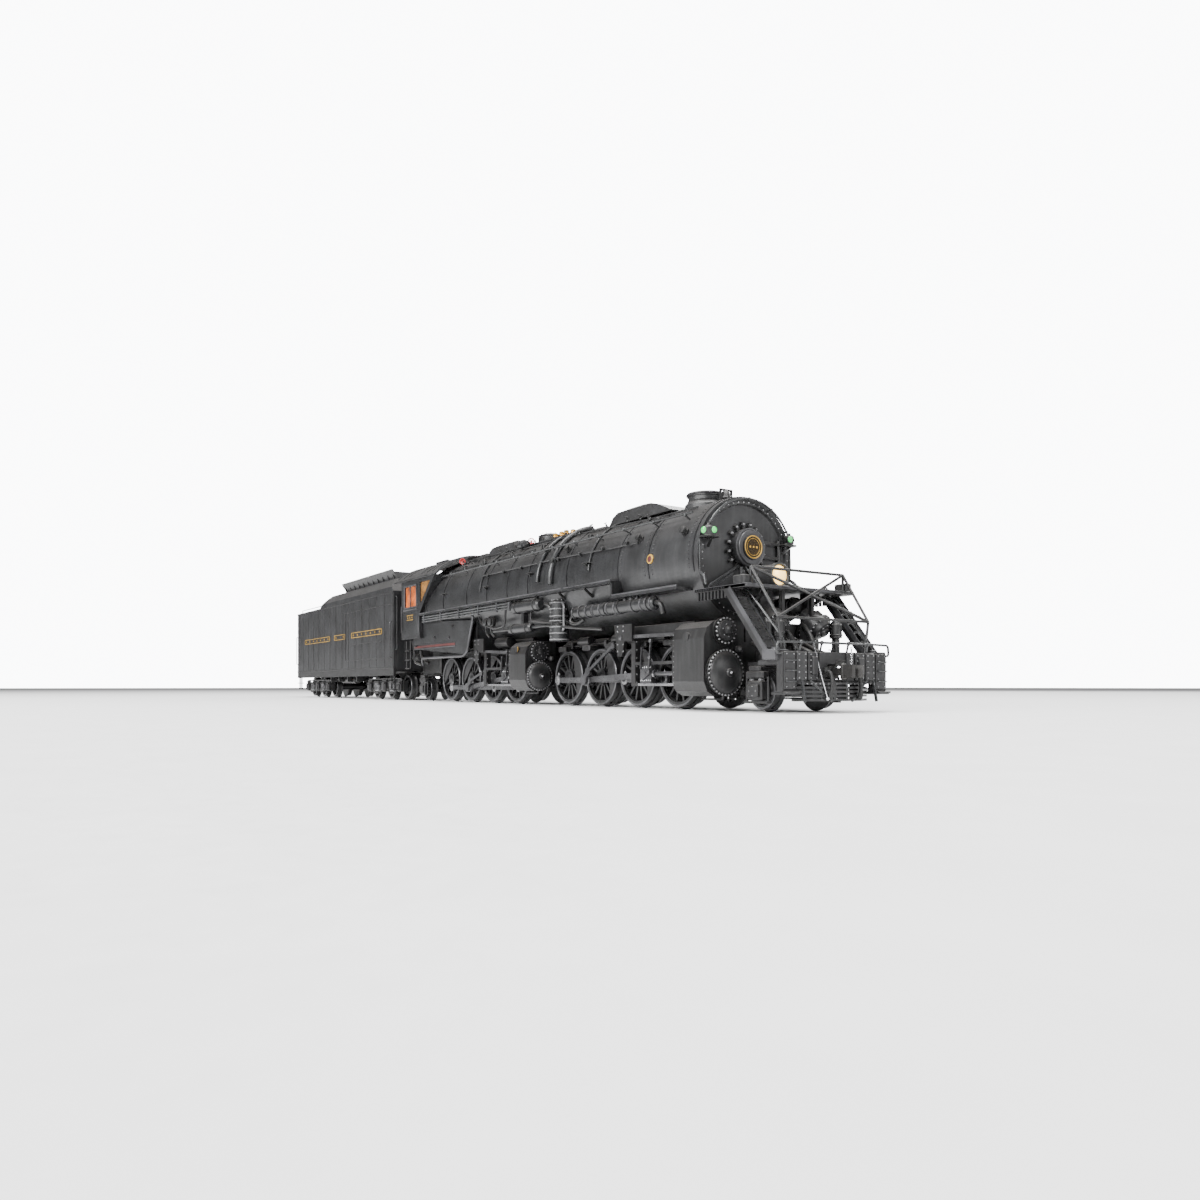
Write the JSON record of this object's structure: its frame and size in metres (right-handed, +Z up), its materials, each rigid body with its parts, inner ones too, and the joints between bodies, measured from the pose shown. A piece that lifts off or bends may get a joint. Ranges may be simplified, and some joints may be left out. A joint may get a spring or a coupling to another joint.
{
  "type": "model steam locomotive and tender",
  "caption": "Scale model of an articulated steam locomotive with spoked drivers, rods, open cab, front platform and headlight, drawing a coal tender on swivelling trucks.",
  "frame": {"origin": "centre of the length and width, at the bottom of the wheel flanges", "axes": "+X to the front of the locomotive, +Y to its left side, +Z up"},
  "size_m": [0.73, 0.0718, 0.108],
  "materials": {
    "boiler_black": "satin enamel over die-cast metal",
    "smokebox_black": "matt graphite paint",
    "brass": "turned brass, slightly dull",
    "backhead_paint": "matt black with dials",
    "chassis_black": "satin black with oily sheen",
    "front_end_black": "satin black",
    "tender_black": "satin enamel",
    "coal": "moulded coal with crushed coal on top",
    "rod_steel": "blackened, lightly oiled steel",
    "wheel_metal": "blackened with bare treads",
    "coupler_steel": "blackened die-cast metal",
    "motor_metal": "plated steel can",
    "smoke_unit_plastic": "heat-resisting plastic",
    "sound_unit_plastic": "circuit board and speaker"
  },
  "bodies": {
    "root": {"air_equipment": "boiler_black", "backhead": "backhead_paint", "boiler_shell": "boiler_black", "cab_roof": "boiler_black", "cab_shell": "boiler_black", "domes": "boiler_black", "feedwater_heater": "boiler_black", "firebox": "boiler_black", "motor": "motor_metal", "rear_cylinders": "chassis_black", "rear_frame": "chassis_black", "rear_guides": "chassis_black", "safety_valves_and_bell": "brass", "smoke_unit": "smoke_unit_plastic", "smokebox_front": "smokebox_black", "smokebox_shell": "smokebox_black", "smokestack": "smokebox_black", "walkways": "boiler_black"},
    "front_engine": {"front_frame": "chassis_black", "front_cylinders": "chassis_black", "front_guides": "chassis_black", "pilot": "front_end_black", "front_platform": "front_end_black", "pilot_railing": "front_end_black", "headlight": "front_end_black"},
    "lead_truck": {"lead_truck": "chassis_black"},
    "lead_truck_axle": {"lead_truck_axle": "wheel_metal"},
    "trailing_truck": {"trailing_truck": "chassis_black"},
    "trailing_truck_axle": {"trailing_truck_axle": "wheel_metal"},
    "drawbar": {"drawbar": "chassis_black"},
    "tender": {"tender_underframe": "chassis_black", "tender_tank": "tender_black", "coal_load": "coal", "sound_unit": "sound_unit_plastic"},
    "tender_front_truck": {"tender_front_truck": "chassis_black"},
    "tender_rear_truck": {"tender_rear_truck": "chassis_black"},
    "front_coupler": {"front_coupler": "coupler_steel"},
    "rear_coupler": {"rear_coupler": "coupler_steel"},
    "front_crosshead_left": {"front_crosshead_left": "rod_steel"},
    "front_crosshead_right": {"front_crosshead_right": "rod_steel"},
    "front_driver_axle_1": {"front_driver_axle_1": "wheel_metal"},
    "front_driver_axle_2": {"front_driver_axle_2": "wheel_metal"},
    "front_driver_axle_3": {"front_driver_axle_3": "wheel_metal"},
    "front_driver_axle_4": {"front_driver_axle_4": "wheel_metal"},
    "front_rods_left": {"front_rods_left": "rod_steel"},
    "front_rods_right": {"front_rods_right": "rod_steel"},
    "rear_crosshead_left": {"rear_crosshead_left": "rod_steel"},
    "rear_crosshead_right": {"rear_crosshead_right": "rod_steel"},
    "rear_driver_axle_1": {"rear_driver_axle_1": "wheel_metal"},
    "rear_driver_axle_2": {"rear_driver_axle_2": "wheel_metal"},
    "rear_driver_axle_3": {"rear_driver_axle_3": "wheel_metal"},
    "rear_driver_axle_4": {"rear_driver_axle_4": "wheel_metal"},
    "rear_rods_left": {"rear_rods_left": "rod_steel"},
    "rear_rods_right": {"rear_rods_right": "rod_steel"},
    "tender_front_axle_1": {"tender_front_axle_1": "wheel_metal"},
    "tender_front_axle_2": {"tender_front_axle_2": "wheel_metal"},
    "tender_front_axle_3": {"tender_front_axle_3": "wheel_metal"},
    "tender_rear_axle_1": {"tender_rear_axle_1": "wheel_metal"},
    "tender_rear_axle_2": {"tender_rear_axle_2": "wheel_metal"},
    "tender_rear_axle_3": {"tender_rear_axle_3": "wheel_metal"}
  },
  "joints": [
    {"name": "front_engine_swivel", "type": "hinge", "parent": "root", "child": "front_engine", "pos_m": [0.136, 0, 0.017], "axis": [0, 0, 1], "range_deg": [-5, 5]},
    {"name": "lead_truck_swivel", "type": "hinge", "parent": "front_engine", "child": "lead_truck", "pos_m": [0.3, 0, 0.0081], "axis": [0, 0, 1], "range_deg": [-8, 8]},
    {"name": "trailing_truck_swivel", "type": "hinge", "parent": "root", "child": "trailing_truck", "pos_m": [-0.013, 0, 0.0081], "axis": [0, 0, 1], "range_deg": [-8, 8]},
    {"name": "lead_axle_spin", "type": "hinge", "parent": "lead_truck", "child": "lead_truck_axle", "pos_m": [0.329, 0, 0.00905], "axis": [0, 1, 0], "continuous": true},
    {"name": "trailing_axle_spin", "type": "hinge", "parent": "trailing_truck", "child": "trailing_truck_axle", "pos_m": [-0.034, 0, 0.00905], "axis": [0, 1, 0], "continuous": true},
    {"name": "rear_driver_spin_3", "type": "hinge", "parent": "root", "child": "rear_driver_axle_3", "pos_m": [0.04284, 0, 0.0162], "axis": [0, 1, 0], "continuous": true},
    {"name": "rear_driver_spin_1", "type": "hinge", "parent": "root", "child": "rear_driver_axle_1", "pos_m": [0.1095, 0, 0.0162], "axis": [0, 1, 0], "continuous": true},
    {"name": "rear_driver_spin_2", "type": "hinge", "parent": "root", "child": "rear_driver_axle_2", "pos_m": [0.07617, 0, 0.0162], "axis": [0, 1, 0], "continuous": true},
    {"name": "rear_driver_spin_4", "type": "hinge", "parent": "root", "child": "rear_driver_axle_4", "pos_m": [0.00951, 0, 0.0162], "axis": [0, 1, 0], "continuous": true},
    {"name": "front_driver_spin_1", "type": "hinge", "parent": "front_engine", "child": "front_driver_axle_1", "pos_m": [0.272, 0, 0.0162], "axis": [0, 1, 0], "continuous": true},
    {"name": "front_driver_spin_2", "type": "hinge", "parent": "front_engine", "child": "front_driver_axle_2", "pos_m": [0.23867, 0, 0.0162], "axis": [0, 1, 0], "continuous": true},
    {"name": "front_driver_spin_3", "type": "hinge", "parent": "front_engine", "child": "front_driver_axle_3", "pos_m": [0.20534, 0, 0.0162], "axis": [0, 1, 0], "continuous": true},
    {"name": "front_driver_spin_4", "type": "hinge", "parent": "front_engine", "child": "front_driver_axle_4", "pos_m": [0.17201, 0, 0.0162], "axis": [0, 1, 0], "continuous": true},
    {"name": "front_rods_turn_right", "type": "hinge", "parent": "front_driver_axle_3", "child": "front_rods_right", "pos_m": [0.19706, -0.021, 0.01444], "axis": [0, 1, 0], "continuous": true},
    {"name": "front_crosshead_slide_right", "type": "slide", "parent": "front_engine", "child": "front_crosshead_right", "axis": [1, 0, 0], "range_m": [-0.00014, 0.0168]},
    {"name": "front_rods_turn_left", "type": "hinge", "parent": "front_driver_axle_3", "child": "front_rods_left", "pos_m": [0.2071, 0.021, 0.00792], "axis": [0, 1, 0], "continuous": true},
    {"name": "front_crosshead_slide_left", "type": "slide", "parent": "front_engine", "child": "front_crosshead_left", "axis": [1, 0, 0], "range_m": [-0.00955, 0.0074]},
    {"name": "rear_rods_turn_right", "type": "hinge", "parent": "rear_driver_axle_3", "child": "rear_rods_right", "pos_m": [0.04883, -0.021, 0.01021], "axis": [0, 1, 0], "continuous": true},
    {"name": "rear_crosshead_slide_right", "type": "slide", "parent": "root", "child": "rear_crosshead_right", "axis": [1, 0, 0], "range_m": [-0.01408, 0.00286]},
    {"name": "rear_rods_turn_left", "type": "hinge", "parent": "rear_driver_axle_3", "child": "rear_rods_left", "pos_m": [0.04883, 0.021, 0.02219], "axis": [0, 1, 0], "continuous": true},
    {"name": "rear_crosshead_slide_left", "type": "slide", "parent": "root", "child": "rear_crosshead_left", "axis": [1, 0, 0], "range_m": [-0.01424, 0.0027]},
    {"name": "drawbar_swing", "type": "hinge", "parent": "root", "child": "drawbar", "pos_m": [-0.052, 0, 0.0154], "axis": [0, 0, 1], "range_deg": [-6, 6]},
    {"name": "tender_swing", "type": "hinge", "parent": "drawbar", "child": "tender", "pos_m": [-0.078, 0, 0.0154], "axis": [0, 0, 1], "range_deg": [-6, 6]},
    {"name": "tender_front_truck_swivel", "type": "hinge", "parent": "tender", "child": "tender_front_truck", "pos_m": [-0.111, 0, 0.02], "axis": [0, 0, 1], "range_deg": [-6, 6]},
    {"name": "tender_front_axle_spin_1", "type": "hinge", "parent": "tender_front_truck", "child": "tender_front_axle_1", "pos_m": [-0.076, 0, 0.01063], "axis": [0, 1, 0], "continuous": true},
    {"name": "tender_front_axle_spin_2", "type": "hinge", "parent": "tender_front_truck", "child": "tender_front_axle_2", "pos_m": [-0.111, 0, 0.01063], "axis": [0, 1, 0], "continuous": true},
    {"name": "tender_front_axle_spin_3", "type": "hinge", "parent": "tender_front_truck", "child": "tender_front_axle_3", "pos_m": [-0.146, 0, 0.01063], "axis": [0, 1, 0], "continuous": true},
    {"name": "tender_rear_truck_swivel", "type": "hinge", "parent": "tender", "child": "tender_rear_truck", "pos_m": [-0.303, 0, 0.02], "axis": [0, 0, 1], "range_deg": [-6, 6]},
    {"name": "tender_rear_axle_spin_1", "type": "hinge", "parent": "tender_rear_truck", "child": "tender_rear_axle_1", "pos_m": [-0.268, 0, 0.01063], "axis": [0, 1, 0], "continuous": true},
    {"name": "tender_rear_axle_spin_2", "type": "hinge", "parent": "tender_rear_truck", "child": "tender_rear_axle_2", "pos_m": [-0.303, 0, 0.01063], "axis": [0, 1, 0], "continuous": true},
    {"name": "tender_rear_axle_spin_3", "type": "hinge", "parent": "tender_rear_truck", "child": "tender_rear_axle_3", "pos_m": [-0.338, 0, 0.01063], "axis": [0, 1, 0], "continuous": true},
    {"name": "front_coupler_swing", "type": "hinge", "parent": "front_engine", "child": "front_coupler", "pos_m": [0.3455, 0, 0.017], "axis": [0, 0, 1], "range_deg": [-8, 8]},
    {"name": "rear_coupler_swing", "type": "hinge", "parent": "tender", "child": "rear_coupler", "pos_m": [-0.3455, 0, 0.017], "axis": [0, 0, 1], "range_deg": [-8, 8]}
  ],
  "couplings": [
    {"joint": "rear_driver_spin_1", "follows": "rear_driver_spin_3", "ratio": 1},
    {"joint": "rear_driver_spin_2", "follows": "rear_driver_spin_3", "ratio": 1},
    {"joint": "rear_driver_spin_4", "follows": "rear_driver_spin_3", "ratio": 1},
    {"joint": "front_driver_spin_1", "follows": "rear_driver_spin_3", "ratio": 1},
    {"joint": "front_driver_spin_2", "follows": "rear_driver_spin_3", "ratio": 1},
    {"joint": "front_driver_spin_3", "follows": "rear_driver_spin_3", "ratio": 1},
    {"joint": "front_driver_spin_4", "follows": "rear_driver_spin_3", "ratio": 1},
    {"joint": "front_rods_turn_right", "follows": "rear_driver_spin_3", "ratio": -1},
    {"joint": "front_rods_turn_left", "follows": "rear_driver_spin_3", "ratio": -1},
    {"joint": "rear_rods_turn_right", "follows": "rear_driver_spin_3", "ratio": -1},
    {"joint": "rear_rods_turn_left", "follows": "rear_driver_spin_3", "ratio": -1}
  ]
}
